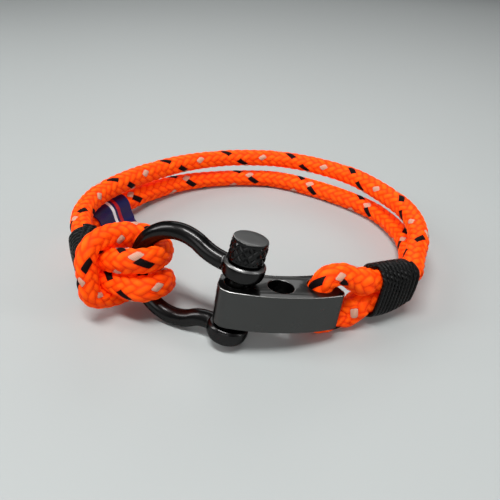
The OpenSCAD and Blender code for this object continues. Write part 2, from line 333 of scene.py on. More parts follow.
def baked(item):
    """Mesh of an object with its modifiers in it; the object goes."""
    depsgraph = bpy.context.evaluated_depsgraph_get()
    mesh = bpy.data.meshes.new_from_object(item.evaluated_get(depsgraph), depsgraph=depsgraph)
    item.modifiers.clear()
    bpy.data.objects.remove(item)
    return mesh


def show(mesh, name, material, body, slot, *nodes):
    """Puts a finished mesh in the scene, riding on its body and standing for its CAD nodes."""
    piece = linked(name, mesh)
    mesh.materials.clear()
    mesh.materials.append(material)
    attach(piece, body)
    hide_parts(*nodes)
    return piece


def finish_faces(mesh, choose, *materials):
    """Adds finishes to a mesh; choose gives each face the number of its own."""
    for material in materials:
        mesh.materials.append(material)
    for polygon in mesh.polygons:
        polygon.material_index = choose(polygon)


# Nodes

def add(tree, kind, *inputs, **settings):
    """Adds a node with its settings and links.

    A kind goes without "ShaderNode", and one in capitals is an operation of the maths node. Inputs come in
    their order, or as one dictionary of their keys. Each is a value, an output, or a node that stands for
    its first output.
    """
    if kind.isupper():
        kind, settings = "Math", {"operation": kind}
    node = tree.nodes.new(kind if "Node" in kind else "ShaderNode" + kind)
    for name, value in settings.items():
        setattr(node, name, value)
    by_key = inputs and isinstance(inputs[0], dict)
    for key, value in inputs[0].items() if by_key else enumerate(inputs):
        if isinstance(value, bpy.types.Node):
            value = value.outputs[0]
        if isinstance(value, bpy.types.NodeSocket):
            tree.links.new(value, node.inputs[key])
        else:
            node.inputs[key].default_value = value
    return node


def plait_cells(node, turn, lay, plaits):
    """Which yarn lies on top at a place on the cord: two over, two under, plaits each way.

    Gives nodes for: right yarn on top or not, right and left yarn numbers, place across the yarn
    (-0.5 to 0.5) and place along its float (-1 to 1).
    """
    right = node("MULTIPLY", node("SUBTRACT", turn, lay), plaits)
    left = node("MULTIPLY", node("ADD", turn, lay), plaits)
    right_yarn, left_yarn = node("ROUND", right), node("ROUND", left)
    crossing = node("FLOORED_MODULO", node("ADD", left_yarn, right_yarn), 4.0)
    on_top = node("LESS_THAN", crossing, 1.5)
    under = node("SUBTRACT", 1.0, on_top)
    across_each = node("SUBTRACT", right, right_yarn), node("SUBTRACT", left, left_yarn)
    starts = (node("ADD", node("ADD", left, right_yarn), 1.5),
              node("SUBTRACT", node("ADD", left_yarn, right), 0.5))
    along_each = [node("FLOORED_MODULO", start, 4.0) for start in starts]
    across, along = (node("ADD", node("MULTIPLY", on_top, a), node("MULTIPLY", under, b))
                     for a, b in (across_each, along_each))
    return on_top, right_yarn, left_yarn, across, node("SUBTRACT", along, 2.0)


def new_material(name):
    """An empty material, and the function that adds nodes to it."""
    material = bpy.data.materials.new(name)
    material.use_nodes = True
    material.node_tree.nodes.clear()
    return material, partial(add, material.node_tree)


def end_material(node, relief, looks):
    """Ends a material: its relief as (height, strength, depth in metres) and its shader's inputs."""
    bump = node("Bump", dict(zip(("Height", "Strength", "Distance"), relief)))
    node("OutputMaterial", node("BsdfPrincipled", {**looks, "Normal": bump}))


def new_tree(name, *floats):
    """A Geometry Nodes tree with these number inputs, the function that adds its nodes, and its inputs."""
    tree = bpy.data.node_groups.new(name, "GeometryNodeTree")
    kinds = {"Geometry": "Geometry", **dict.fromkeys(floats, "Float"), "Material": "Material"}
    for key, kind in kinds.items():
        tree.interface.new_socket(key, in_out="INPUT", socket_type="NodeSocket" + kind)
    tree.interface.new_socket("Geometry", in_out="OUTPUT", socket_type="NodeSocketGeometry")
    node = partial(add, tree)
    return tree, node, node("NodeGroupInput").outputs


def end_tree(node, geometry, material):
    """Ends a Geometry Nodes tree: makes its instances real and gives them their material."""
    real = node("GeometryNodeRealizeInstances", geometry)
    node("NodeGroupOutput", node("GeometryNodeSetMaterial", {"Geometry": real, "Material": material}))


def grown(name, tree, values, mesh=None):
    """Mesh that a node tree makes, of this mesh or of nothing, with the tree's named inputs set."""
    item = linked(name, mesh or bpy.data.meshes.new(name))
    modifier = item.modifiers.new(tree.name, "NODES")
    modifier.node_group = tree
    for socket in tree.interface.items_tree:
        if socket.in_out == "INPUT" and socket.name in values:
            modifier[socket.identifier] = values[socket.name]
    return baked(item)


# Materials: a noise's scale is its patches to a metre, so that 2600 is one every 0.4 mm

FLECK_LONG = 0.66
FLECK_WIDE = 0.5
THREAD_TWIST = 0.0024


def braided_polyester(settings):
    """Solution-dyed polyester yarn, plaited: orange with a painted glow, a painted highlight on each float,
    painted shade between yarns, fine filaments along it.
    """
    material, node = new_material("braided_polyester_cord")
    turn, lay = node("SeparateXYZ", node("UVMap")).outputs[:2]
    on_top, right_yarn, left_yarn, across, along = plait_cells(node, turn, lay, settings.plaits)
    place = node("TexCoord").outputs["Object"]
    ragged, fuzz, patches = (node("TexNoise", {"Vector": place, "Scale": scale, "Detail": detail})
                             for scale, detail in ((3400.0, 1.0), (2600.0, 3.0), (700.0, 2.0)))

    # one black yarn runs one way and one silver yarn the other way
    counted = node("SUBTRACT", left_yarn, float(settings.silver_yarn))
    black, silver_yarn = (
        node("MULTIPLY", shown, node("LESS_THAN", node("FLOORED_MODULO", number, settings.plaits), 0.5))
        for shown, number in ((on_top, right_yarn), (node("SUBTRACT", 1.0, on_top), counted)))

    # the reflective yarn is thinner, so its neighbours cover the ends of each float; a painted shade rim goes
    # round it
    off_end, off_side = (node("POWER", node("DIVIDE", node("ABSOLUTE", off), half), 5.0)
                         for off, half in ((along, FLECK_LONG), (across, FLECK_WIDE)))
    wander = node("MULTIPLY", node("SUBTRACT", ragged, 0.5), 0.9)
    reach = node("ADD", node("ADD", off_end, off_side), wander)
    silver, silver_with_painted_rim = (node("MULTIPLY", silver_yarn, node("LESS_THAN", reach, limit))
                        for limit in (0.95, 1.9))
    rim = node("SUBTRACT", silver_with_painted_rim, silver)

    # painted highlight and painted shade: a yarn is painted palest where its float stands highest and darkest
    # where the next one crosses it
    sides = node("POWER", node("ABSOLUTE", node("MULTIPLY", across, 2.0)), 3.0)
    ends = node("POWER", node("MINIMUM", node("ABSOLUTE", along), 1.0), 4.0)
    depth = node("MINIMUM", node("ADD", sides, ends), 1.0)
    half_height = node("MULTIPLY", node("SUBTRACT", 1.0, depth), 0.5)
    painted_shade = node("MAXIMUM", node("MULTIPLY", depth, 0.34), node("MULTIPLY", rim, 0.8))

    # no two floats are quite alike: a random tone for each float and in patches scales the painted highlight
    chance = node("TexWhiteNoise", {"Vector": node("CombineXYZ", right_yarn, left_yarn)}).outputs["Value"]
    pale = node("MULTIPLY", node("ADD", half_height, node("MULTIPLY", chance, 0.35)),
                node("MULTIPLY", patches, 1.9))

    # filaments: six to a yarn, coarser than the real ones so that they show; in the silver yarn they carry a
    # painted glint
    filaments = node("SINE", node("MULTIPLY", across, 2 * math.pi * 6))
    painted_glint = node("MULTIPLY", node("ADD", fuzz, filaments), 0.45)
    bright, deep = settings.silver_yarn_colour, settings.orange_low
    dim = [0.25 * silver_part + 0.5 * orange_part for silver_part, orange_part in zip(bright, deep)]
    speckle = node("Mix", {"Factor": painted_glint, 6: (*bright, 1), 7: (*dim, 1)}, data_type="RGBA").outputs[2]
    tone = (*deep, 1)
    for share, colour in ((pale, (*settings.orange, 1)), (painted_shade, (*settings.painted_crease_shade, 1)),
                          (black, (*settings.black_yarn, 1)), (silver, speckle)):
        tone = node("Mix", {"Factor": share, 6: tone, 7: colour}, data_type="RGBA").outputs[2]

    # painted glow: the orange yarn gives off light of its own deep orange, most on each float's crown,
    # standing in for the fluorescent dye's brightness and lifting the orange in shade; the tracers give none
    dyed = node("SUBTRACT", 1.0, node("MAXIMUM", black, silver))
    painted_glow = node("MULTIPLY", dyed, node("MULTIPLY", node("ADD", half_height, 0.5), settings.painted_glow))

    relief = node("ADD", node("MULTIPLY", filaments, 0.5), node("MULTIPLY", fuzz, 0.8))
    roughness = node("SUBTRACT", 0.62, node("MULTIPLY", silver, 0.27))
    end_material(node, (relief, 0.4, 0.00006), {
        "Base Color": tone, "Roughness": roughness, "IOR": 1.45, "Specular IOR Level": 0.1,
        "Emission Color": (*settings.painted_glow_colour, 1), "Emission Strength": painted_glow,
    })
    return material


# Coated steels: colour setting, roughness, scale of the marks, their strength and the coat's weight; the
# first four are the shackle's, the others the bar's. The lighter edge, face and rim steels are painted
# highlights and painted reflections on the black coating.
STEELS = {
    "polished_black_coated_steel": ("black", 0.29, 1500.0, 0.08, 0.28),
    "knurled_black_coated_steel": ("knurl_black", 0.4, 4200.0, 0.3, 0.4),
    "face_reflection_painted_steel": ("painted_face_reflection", 0.42, 900.0, 0.1, 0.4),
    "edge_highlight_painted_steel": ("painted_edge_highlight", 0.3, 900.0, 0.1, 0.4),
    "satin_black_coated_steel": ("satin_black", 0.3, 1200.0, 0.12, 0.4),
    "bar_edge_highlight_painted": ("painted_edge_highlight", 0.3, 900.0, 0.1, 0.4),
    "hole_rim_highlight_painted": ("painted_face_reflection", 0.42, 900.0, 0.1, 0.4),
}


def coated_steel(settings, name):
    """Stainless steel with a black vapour-deposited coating: dark and glossy, faintly uneven; the lighter
    entries of the table are painted highlights and painted reflections.
    """
    colour, roughness, scale, strength, coat = STEELS[name]
    material, node = new_material(name)
    marks, cloud = (node("TexNoise", {"Vector": node("TexCoord").outputs["Object"], "Scale": patches,
                                      "Detail": detail})
                    for patches, detail in ((scale, 4.0), (240.0, 2.0)))
    end_material(node, (marks, strength, 0.00003), {
        "Base Color": (*getattr(settings, colour), 1), "Metallic": 1.0,
        "Roughness": node("MapRange", cloud, 0.3, 0.7, roughness * 0.8, roughness * 1.25),
        "Specular Tint": (0.3, 0.3, 0.3, 1), "Coat Weight": coat, "Coat Roughness": 0.1,
    })
    return material


def waxed_thread(settings):
    """Twisted polyester thread drawn through wax: black, with soft narrow glints on each turn."""
    material, node = new_material("waxed_polyester_thread")
    along, round_it = (node("Attribute", attribute_name=name).outputs["Fac"]
                       for name in ("along_thread", "round_thread"))
    # three plies, coarser than real
    twist = node("ADD", node("MULTIPLY", along, 1 / THREAD_TWIST), round_it)
    ply = node("SINE", node("MULTIPLY", twist, 2 * math.pi * 3))
    fuzz = node("TexNoise", {"Vector": node("TexCoord").outputs["Object"], "Scale": 3000.0, "Detail": 3.0})
    worn = [part * 2.2 for part in settings.thread]
    tone = node("Mix", {"Factor": fuzz, 6: (*settings.thread, 1), 7: (*worn, 1)}, data_type="RGBA")
    end_material(node, (node("ADD", ply, node("MULTIPLY", fuzz, 1.2)), 0.5, 0.00012), {
        "Base Color": tone.outputs[2], "Roughness": 0.38, "Specular IOR Level": 0.15,
    })
    return material


def satin_ribbon(settings):
    """Woven satin ribbon: long floats across its width give a soft stretched highlight."""
    material, node = new_material("woven_satin_ribbon")
    across, along = node("SeparateXYZ", node("UVMap")).outputs[:2]
    # two plain lines along the ribbon, near one of its edges
    tone = (*settings.navy, 1)
    for start, colour in ((settings.white_line, settings.white), (settings.red_line, settings.red)):
        line = node("MULTIPLY", node("GREATER_THAN", across, start / MM),
                    node("LESS_THAN", across, (start + settings.line_width) / MM))
        tone = node("Mix", {"Factor": line, 6: tone, 7: (*colour, 1)}, data_type="RGBA").outputs[2]
    # ribs: five and three to a millimetre, coarser than real
    warp = node("SINE", node("MULTIPLY", across, 2 * math.pi * 5))
    weft = node("SINE", node("MULTIPLY", along, 2 * math.pi * 3))
    end_material(node, (node("ADD", warp, node("MULTIPLY", weft, 0.4)), 0.2, 0.00003), {
        "Base Color": tone, "Roughness": 0.36, "Specular IOR Level": 0.35, "Anisotropic": 0.5,
    })
    return material


def seamless_paper(settings):
    """Matt background paper: pale, even, no grain to be seen."""
    material, node = new_material("background_paper")
    grain = node("TexNoise", {"Vector": node("TexCoord").outputs["Object"], "Scale": 900.0, "Detail": 2.0})
    end_material(node, (grain, 0.05, 0.0001), {
        "Base Color": (*settings.floor, 1), "Roughness": 0.55, "Specular IOR Level": 0.3,
    })
    return material


# Settings that a user would change

def colour_setting(name, description, code):
    """Property for a colour, from its sRGB hex value."""
    return bpy.props.FloatVectorProperty(name=name, description=description, subtype="COLOR",
                                         default=linear(code))


def length_setting(name, description, metres):
    """Property for a length."""
    return bpy.props.FloatProperty(name=name, description=description, default=metres, unit="LENGTH")


class BraceletCord(bpy.types.PropertyGroup):
    plaits: bpy.props.FloatProperty(name="Plaits", description="Yarns that run each way round the cord",
                                    default=8.0)
    relief: length_setting("Relief", "Height of a yarn above the hollows between yarns", 0.00028)
    silver_yarn: bpy.props.IntProperty(name="Silver yarn", description="Number of the silver tracer yarn",
                                       default=7)
    # painted glow: this and the next setting give the orange light of its own, standing in for the
    # fluorescent dye's brightness
    painted_glow: bpy.props.FloatProperty(name="Glow", description="Light that the fluorescent dye adds",
                                  default=0.18)
    painted_glow_colour: colour_setting("Dye's light", "Colour of the light the dye adds", "#ff1c00")
    # painted highlight: the colour each float is painted at its crown, varied at random from float to float
    orange: colour_setting("Orange", "Colour of a yarn where it stands highest", "#ff680a")
    orange_low: colour_setting("Deep orange", "Colour of a yarn lower down", "#ff3d00")
    # painted shade: the colour painted between yarns and round the silver tracer
    painted_crease_shade: colour_setting("Crease", "Colour between two yarns", "#b01c00")
    black_yarn: colour_setting("Black tracer", "Colour of the black tracer yarn", "#100506")
    silver_yarn_colour: colour_setting("Silver tracer", "Colour of the reflective tracer yarn", "#c4a48e")


class BraceletMetal(bpy.types.PropertyGroup):
    black: colour_setting("Black coating", "Colour of the coated steel", "#262525")
    satin_black: colour_setting("Bar's coating", "Colour of the bar's satin coating", "#464645")
    knurl_black: colour_setting("Knurl's coating", "Colour of the head's side", "#161616")
    # painted highlight: the pale colour painted on bevels and edges where the lamps would catch them
    painted_edge_highlight: colour_setting("Burnished edges", "Colour of edges rubbed bright", "#9c9c99")
    # painted reflection: the lighter colour painted on the head's flat top and the ear's top rim, and as a
    # painted highlight round the bar's holes
    painted_face_reflection: colour_setting("Face's coating", "Colour of the head's flat top", "#6a6a69")
    knurl_count: bpy.props.IntProperty(name="Knurl teeth", description="Diamonds round the pin's head",
                                       default=13)
    knurl_depth: length_setting("Knurl depth", "Depth of the knurl's grooves", 0.00016)
    bar_bevel: length_setting("Bar edge", "Width of the bar's rounded edges", 0.00018)
    thread_pitch: length_setting("Thread pitch", "Pitch of the pin's screw thread", 0.0007)


class BraceletWhipping(bpy.types.PropertyGroup):
    left_length: length_setting("Left length", "Length of the whipping by the shackle", 0.007)
    right_length: length_setting("Right length", "Length of the whipping by the bar", 0.0088)
    thickness: length_setting("Thread", "Thickness of the thread", 0.00095)
    thread: colour_setting("Thread colour", "Colour of the waxed thread", "#040404")


class BraceletTag(bpy.types.PropertyGroup):
    width: length_setting("Width", "Width of the ribbon", 0.0116)
    white_line: length_setting("White line", "Place of the white line across the ribbon", 0.0066)
    red_line: length_setting("Red line", "Place of the red line across the ribbon", 0.0080)
    line_width: length_setting("Line width", "Width of each line", 0.0008)
    navy: colour_setting("Navy", "Ground colour of the ribbon", "#121448")
    white: colour_setting("White", "Colour of the white stripe", "#e4e4e6")
    red: colour_setting("Red", "Colour of the red stripe", "#b0121e")


class BraceletStage(bpy.types.PropertyGroup):
    floor: colour_setting("Floor", "Colour of the background paper", "#a6aaa9")
    brightness: bpy.props.FloatProperty(name="Light", description="Strength of all lamps together",
                                        default=1.13)


class BraceletSettings(bpy.types.PropertyGroup):
    cord: bpy.props.PointerProperty(type=BraceletCord)
    metal: bpy.props.PointerProperty(type=BraceletMetal)
    whipping: bpy.props.PointerProperty(type=BraceletWhipping)
    tag: bpy.props.PointerProperty(type=BraceletTag)
    stage: bpy.props.PointerProperty(type=BraceletStage)


# Cord

YARN_ROUND = 3.4
ARCH_SHARE = 0.6
MEAN_HEIGHT = 0.45


def braid_relief_tree():
    """Lifts each yarn of the braid out of the cord's skin, from where a point lies round and along it."""
    tree, node, given = new_tree("Braid relief", "Plaits", "Relief")
    turn, lay = (node("GeometryNodeInputNamedAttribute", {"Name": name}, data_type="FLOAT")
                 for name in ("turn", "lay"))
    across, along = plait_cells(node, turn, lay, given["Plaits"])[3:]
    # round across the yarn, and arched along its float
    sunk = node("MULTIPLY", node("MULTIPLY", across, across), YARN_ROUND)
    crown = node("SQRT", node("SUBTRACT", 1.0, sunk))
    arch = node("COSINE", node("MULTIPLY", node("MINIMUM", node("ABSOLUTE", along), 1.0), math.pi / 2))
    height = node("MULTIPLY", crown, node("ADD", node("MULTIPLY", arch, ARCH_SHARE), 1 - ARCH_SHARE))
    lift = node("MULTIPLY", node("SUBTRACT", height, MEAN_HEIGHT), given["Relief"])
    offset = node("VectorMath", {0: node("GeometryNodeInputNormal"), 3: lift}, operation="SCALE")
    moved = node("GeometryNodeSetPosition", {"Geometry": given["Geometry"], "Offset": offset})
    end_tree(node, moved, given["Material"])
    return tree


# Each stretch's rows, the way its braid runs, and marks of [mm along it, turns round, lays along] that
# set where the tracer yarns come up; in the knots the cord is pressed shorter, so a lay is shorter there
STRETCHES = {
    "upper_strand": (partial(strand_rows, UPPER_ROUTE, 1), -1,
                     [[0, 0.322, 0.005], [20.4, 0.322, -1.291], [40.7, 0.325, -2.567], [61.1, 0.341, -3.788],
                      [81.5, 0.346, -4.98], [101.9, 0.323, -6.174], [122.2, 0.291, -7.398],
                      [142.6, 0.259, -8.626]]),
    "lower_strand": (partial(strand_rows, LOWER_ROUTE, -1), 1,
                     [[0, 0.887, 0.19], [20.2, 0.848, 1.337], [40.4, 0.808, 2.484], [60.6, 0.779, 3.641],
                      [80.8, 0.777, 4.813], [101.0, 0.78, 6.006], [121.2, 0.791, 7.191],
                      [141.4, 0.801, 8.377]]),
    "bow_hitch": (hitch_rows, 1,
                  [[0, 0.8, -0.075], [13.7, 0.8, 0.904], [41.9, 0.88, 2.998], [69.9, 0.89, 5.01],
                   [83.8, 0.89, 6.003]]),
    "bar_loop": (loop_rows, -1,
                 [[0, 0.25, 0.26], [12.3, 0.25, -0.571], [27.8, 0.39, -1.62], [37.1, 0.4, -2.249]]),
}
ROUND_STEPS = 72
ROW_STEPS = 12
ALONG_STEP = 0.22
INSET_SHARE = 0.35


def cord_mesh(name, settings, tree, material):
    """A stretch of cord, its skin marked with turns round and lays along, which lift and colour its yarns."""
    make_rows, way, marks = STRETCHES[name]
    rows = np.array(make_rows(), float)
    for k, more in FULLER[name].items():
        rows[k, 3:] += more
    for k, move in GIVEN_WAY[name].items():
        rows[k, :3] += move
    fine, run = evenly(smooth(rows, ROW_STEPS), ALONG_STEP)
    path, half_t, half_w = fine[:, :3], fine[:, 3], fine[:, 4]
    # the skin lies a little deep, so that the yarns come up to the cord's size
    inset = settings.relief / MM * INSET_SHARE
    rings = oval_rings(path, *carried_frames(path)[1:], half_t - inset, half_w - inset, ROUND_STEPS)
    places, turns, lays = np.array(marks).T
    turn_at, lay_at = np.interp(run, places, turns), np.interp(run, places, lays)
    # yarns keep their width on a flattened stretch, so turns are counted by the way round, not by angle
    flat = (half_t ** 2 - half_w ** 2) / (half_t ** 2 + half_w ** 2) / 4
    angle = np.linspace(0, 2 * math.pi, ROUND_STEPS + 1)
    turn = turn_at[:, None] + way * (angle - flat[:, None] * np.sin(2 * angle)) / (2 * math.pi)
    mesh = skin(name, rings, np.stack([turn, np.broadcast_to(lay_at[:, None], turn.shape)], -1))
    for key, data in (("turn", turn[:, :-1].ravel()), ("lay", np.repeat(lay_at, ROUND_STEPS))):
        attribute = mesh.attributes.new(key, "FLOAT", "POINT")
        attribute.data.foreach_set("value", np.concatenate([data, [0, 0]]).astype(np.float32))
    values = {"Plaits": settings.plaits, "Relief": settings.relief, "Material": material}
    result = grown(name, tree, values, mesh)
    result.shade_smooth()
    return result


class BRACELET_OT_cord(bpy.types.Operator):
    """Makes the four stretches of braided cord"""
    bl_idname = "bracelet.cord"
    bl_label = "Braided cord"

    def execute(self, context):
        settings = context.scene.bracelet.cord
        tree, material = braid_relief_tree(), braided_polyester(settings)
        for name in STRETCHES:
            mesh = cord_mesh(name, settings, tree, material)
            show(mesh, name + "_braid", material, "bracelet", "orange_cord", name)
        return {"FINISHED"}


# Shackle

EAR_MID = 5.55
EAR_HALF = 1.3
EAR_MORE = (0.15, 0.3)
PIN_R = 1.95
BORE_R = PIN_R + 0.05
BORE_EDGE = 0.15
WIRE_R = 1.475
WIRE_START = 0.6
WIRE_FLAT = (3.15, 1.18)
WIRE_SIDES = 48
WIRE_STEP = 0.2
FLAT_LENGTH = 3.0
ARM_START = 3.2
HEAD_AT = EAR_MID + EAR_HALF + 0.5
HEAD_R = 2.9
KNURL_FROM, KNURL_TO = 0.2, 3.05
KNURL_SLANT = 1 / 1.5
KNURL_FADE = 0.3
KNURL_ROWS = 37
TOOTH_STEPS = 14
TOOTH_STEEP = 1.9
TURNED_SIDES = 72
SHANK_SIDES = 64
CHAMFER = 0.3
COLLAR_FROM = 6.82
SCREW_LENGTH = 3.4
SCREW_DEPTH = 0.2
SCREW_RIDGE = 0.19
SCREW_INSET = 0.35
# How far a face's normal points up the pin: 1 on a flat top, 0 on an upright side; these bounds pick the
# faces painted with a highlight or a reflection
TOP_LEAN = 0.97
BEVEL_LEAN = (0.5, 0.9)
HEAD_EDGE_LEAN = 0.6
BAR_EDGE_LEAN = 0.3


def bow_side(height):
    """Centre line of half of the bow, [along, up] from its crown's middle, with its ear at this height."""
    curve = ((CROWN_AT - ARM_START) ** 2 + height ** 2 - CROWN_R ** 2) / (2 * (CROWN_R - height))
    turn = math.atan2(height + curve, ARM_START - CROWN_AT)
    straight = [(x, height) for x in np.linspace(WIRE_START, ARM_START, 6, endpoint=False)]
    arm = [(ARM_START + curve * math.sin(t), height + curve - curve * math.cos(t))
           for t in np.linspace(0, turn - math.pi / 2, 24, endpoint=False)]
    return straight + arm + [(CROWN_AT + CROWN_R * math.cos(t), CROWN_R * math.sin(t))
                             for t in np.linspace(turn, 0, 70)]


def bow_path():
    """Centre line of the bow in its own plane, from one ear to the other; its crown hangs a little low."""
    upper, lower = bow_side(EAR_MID + CROWN_DROP), bow_side(EAR_MID - CROWN_DROP)
    return np.array(upper + [(x, -z) for x, z in reversed(lower[:-1])]) - [0, CROWN_DROP]


def bow_mesh():
    """Forged bow: a round bar whose ends flatten and widen into the ears."""
    flat = bow_path()
    path, run = evenly(np.column_stack([flat[:, 0], np.zeros(len(flat)), flat[:, 1]]), WIRE_STEP)
    share = np.clip(1 - np.minimum(run, run[-1] - run) / FLAT_LENGTH, 0, 1)
    share = share * share * (3 - 2 * share)
    half_wide, half_thick = (WIRE_R + (flattened - WIRE_R) * share for flattened in WIRE_FLAT)
    rings = oval_rings(path, *carried_frames(path, (0, 1, 0))[1:], half_wide, half_thick, WIRE_SIDES)
    return skin("bow_wire", to_world(rings, BOW_FRAME))


def ear_mesh(side):
    """Ear about the pin: round below, with a bevel above; the forging is a little thicker outwards."""
    low = -EAR_HALF - (EAR_MORE[1] if side < 0 else 0)
    high = EAR_HALF + (EAR_MORE[0] if side > 0 else 0)
    belly = [[2.45, 1], [2.72, 0.954], [2.95, 0.846], [3.13, 0.692], [3.27, 0.477], [3.36, 0.215]]
    profile = [[BORE_R, low + BORE_EDGE], [BORE_R + BORE_EDGE, low]]
    profile += [[r, share * low] for r, share in belly]
    profile += [[3.4, 0.1], [3.4, high - 0.42], [3.37, high - 0.33], [3.1, high - 0.05], [3.02, high],
                [BORE_R + BORE_EDGE, high], [BORE_R, high - BORE_EDGE], [BORE_R, low + BORE_EDGE]]
    return skin("ear", lathe(profile, TURNED_SIDES, BOW_FRAME, side * EAR_MID), capped=False)


def head_mesh(settings):
    """Knurled head: two sets of slanting grooves leave diamonds round its side."""
    depth = settings.knurl_depth / MM
    segments = settings.knurl_count * TOOTH_STEPS
    place = np.linspace(0, settings.knurl_count, segments, endpoint=False)
    profile = [(2.15, -0.25), (2.45, -0.25), (2.62, -0.17), (2.74, 0.0)]
    for z in np.linspace(KNURL_FROM, KNURL_TO, KNURL_ROWS):
        grooves = [np.abs((place + way * z * KNURL_SLANT) % 1 - 0.5) * 2 for way in (1, -1)]
        tooth = np.minimum((1 - np.maximum(*grooves)) * TOOTH_STEEP, 1)
        fade = max(0, min(1, (z - KNURL_FROM) / KNURL_FADE, (KNURL_TO - z) / KNURL_FADE))
        profile.append((HEAD_R - 0.02 - depth + depth * tooth * fade, z))
    profile += [(2.76, 3.2), (2.75, 3.42), (2.71, 3.52), (2.62, 3.585), (2.52, 3.6), (1.2, 3.6), (0.4, 3.6)]
    return skin("head", lathe(profile, segments, BOW_FRAME, HEAD_AT))


def screw_tree():
    """Winds a ridge round the pin's end as its screw thread."""
    tree, node, given = new_tree("Screw ridge", "Turns", "Height", "Radius", "Ridge")
    coil = node("GeometryNodeCurveSpiral", {
        "Resolution": 40, "Rotations": given["Turns"], "Start Radius": given["Radius"],
        "End Radius": given["Radius"], "Height": given["Height"],
    })
    ridge = node("GeometryNodeCurvePrimitiveCircle", {"Resolution": 6, "Radius": given["Ridge"]})
    tube = node("GeometryNodeCurveToMesh", {0: coil, 1: ridge, "Fill Caps": True})
    end_tree(node, tube, given["Material"])
    return tree


def shank_mesh(settings, material):
    """Pin's shank: a turned rod with a collar under the head and a screw thread at its far end."""
    low = -EAR_MID - EAR_HALF
    thread_top = low + SCREW_LENGTH
    root = PIN_R - SCREW_DEPTH
    profile = [[0.001, low], [root - CHAMFER, low], [root, low + CHAMFER], [root, thread_top]]
    profile += [[PIN_R, thread_top + 0.2]]
    profile += [[PIN_R, z] for z in np.linspace(thread_top + 0.4, COLLAR_FROM, 8)]
    profile += [[PIN_R, 6.97], [2.12, 7.0], [2.2, 7.06], [2.2, 7.3], [2.15, 7.34], [0.001, 7.34]]
    rod = skin("rod", lathe(profile, SHANK_SIDES, BOW_FRAME))
    wound = (SCREW_LENGTH - 0.5) * MM
    ridge = grown("screw", screw_tree(), {
        "Turns": wound / settings.thread_pitch, "Height": wound,
        "Radius": (root - 0.02) * MM, "Ridge": SCREW_RIDGE * MM, "Material": material,
    })
    put(ridge, axes_of(BOW_FRAME), to_world([0, 0, low + SCREW_INSET], BOW_FRAME))
    outward(ridge)
    mesh = joined([rod, ridge], "pin_shank")
    sharp_over(mesh, 35)
    return mesh


class BRACELET_OT_shackle(bpy.types.Operator):
    """Makes the bow shackle and its screw pin"""
    bl_idname = "bracelet.shackle"
    bl_label = "Shackle and pin"

    def execute(self, context):
        settings = context.scene.bracelet.metal
        steel, knurled, painted_reflection_steel, painted_highlight_steel = (coated_steel(settings, name) for name in list(STEELS)[:4])
        up = Vector(axes_of(BOW_FRAME)[:, 2])
        rim = Vector(to_world((0, 0, EAR_MID + EAR_HALF), BOW_FRAME)) * MM
        bow = joined([bow_mesh(), ear_mesh(1), ear_mesh(-1)], "shackle_bow")
        sharp_over(bow, 50)
        show(bow, "forged_bow", steel, "bracelet", "black_steel", "shackle_bow")

        # the ear's top rim takes a painted reflection of the pale surroundings
        def painted_rim_reflection_or_not(polygon):
            off = polygon.center - rim
            at_rim = abs(off.dot(up)) < 0.4 * MM and off.cross(up).length < 3.5 * MM
            return int(at_rim and BEVEL_LEAN[0] < polygon.normal.dot(up) < BEVEL_LEAN[1])

        # the head's flat top takes a painted reflection of the light from above, its top bevel a painted
        # highlight
        def side_or_painted_top_or_edge(polygon):
            lean = polygon.normal.dot(up)
            return 1 if lean > TOP_LEAN else 2 if lean > HEAD_EDGE_LEAN else 0

        finish_faces(bow, painted_rim_reflection_or_not, painted_reflection_steel)
        head = head_mesh(settings)
        sharp_over(head, 28)
        show(head, "pin_head", knurled, "pin", "black_steel", "shackle_pin")
        finish_faces(head, side_or_painted_top_or_edge, painted_reflection_steel, painted_highlight_steel)
        show(shank_mesh(settings, steel), "pin_shank", steel, "pin", "black_steel", "shackle_pin")
        return {"FINISHED"}


# Bar

BAR = {"pitch": 6.8, "hole_r": 2.12, "width": 7.0, "height": 6.5, "curve": 30.0, "end": 3.0,
       "left_corner": 2.4, "right_corner": 1.3}
SIDE_POINTS, CORNER_POINTS, HOLE_POINTS = 33, 13, 64
SAME_POINT = 0.02
RIM_REACH = 1.2


def bar_outline():
    """Plan of the bar from its first hole's middle, and the plans of its holes."""
    hole_turn = 2 * math.asin(BAR["pitch"] / 2 / BAR["curve"])
    half = hole_turn + BAR["end"] / BAR["curve"]
    inner, outer = BAR["curve"] - BAR["width"] / 2, BAR["curve"] + BAR["width"] / 2

    def at(r, turn):
        """Point at this radius and turn, from the middle of the bar's curve."""
        return np.array([r * math.sin(turn), -r * math.cos(turn)])

    def arc(middle, r, start, end, steps):
        """Points of an arc round a middle."""
        return [middle + r * np.array([math.cos(t), math.sin(t)]) for t in np.linspace(start, end, steps)]

    def end(corner):
        """How far the outer and the inner arc go at an end, and the points round its two corners."""
        out_turn, in_turn = half - corner / (outer - corner), half - corner / (inner + corner)
        return out_turn, in_turn, (
            arc(at(outer - corner, out_turn), corner, out_turn - math.pi / 2, half, CORNER_POINTS)
            + arc(at(inner + corner, in_turn), corner, half, in_turn + math.pi / 2, CORNER_POINTS))

    out_right, in_right, right = end(BAR["right_corner"])
    out_left, in_left, left = end(BAR["left_corner"])
    points = ([at(outer, t) for t in np.linspace(-out_left, out_right, SIDE_POINTS)] + right
              + [at(inner, t) for t in np.linspace(in_right, -in_left, SIDE_POINTS)]
              + [p * [-1, 1] for p in reversed(left)])
    # an arc and a corner share their point
    outline = [p for i, p in enumerate(points) if i == 0 or np.linalg.norm(p - points[i - 1]) > SAME_POINT]
    holes = [arc(at(BAR["curve"], k * hole_turn), BAR["hole_r"], 0, 2 * math.pi, HOLE_POINTS + 1)[:-1]
             for k in (-1, 0, 1)]
    shift = BAR["curve"] * np.array([math.sin(hole_turn), math.cos(hole_turn)])
    return [[p + shift for p in line] for line in [outline] + holes]


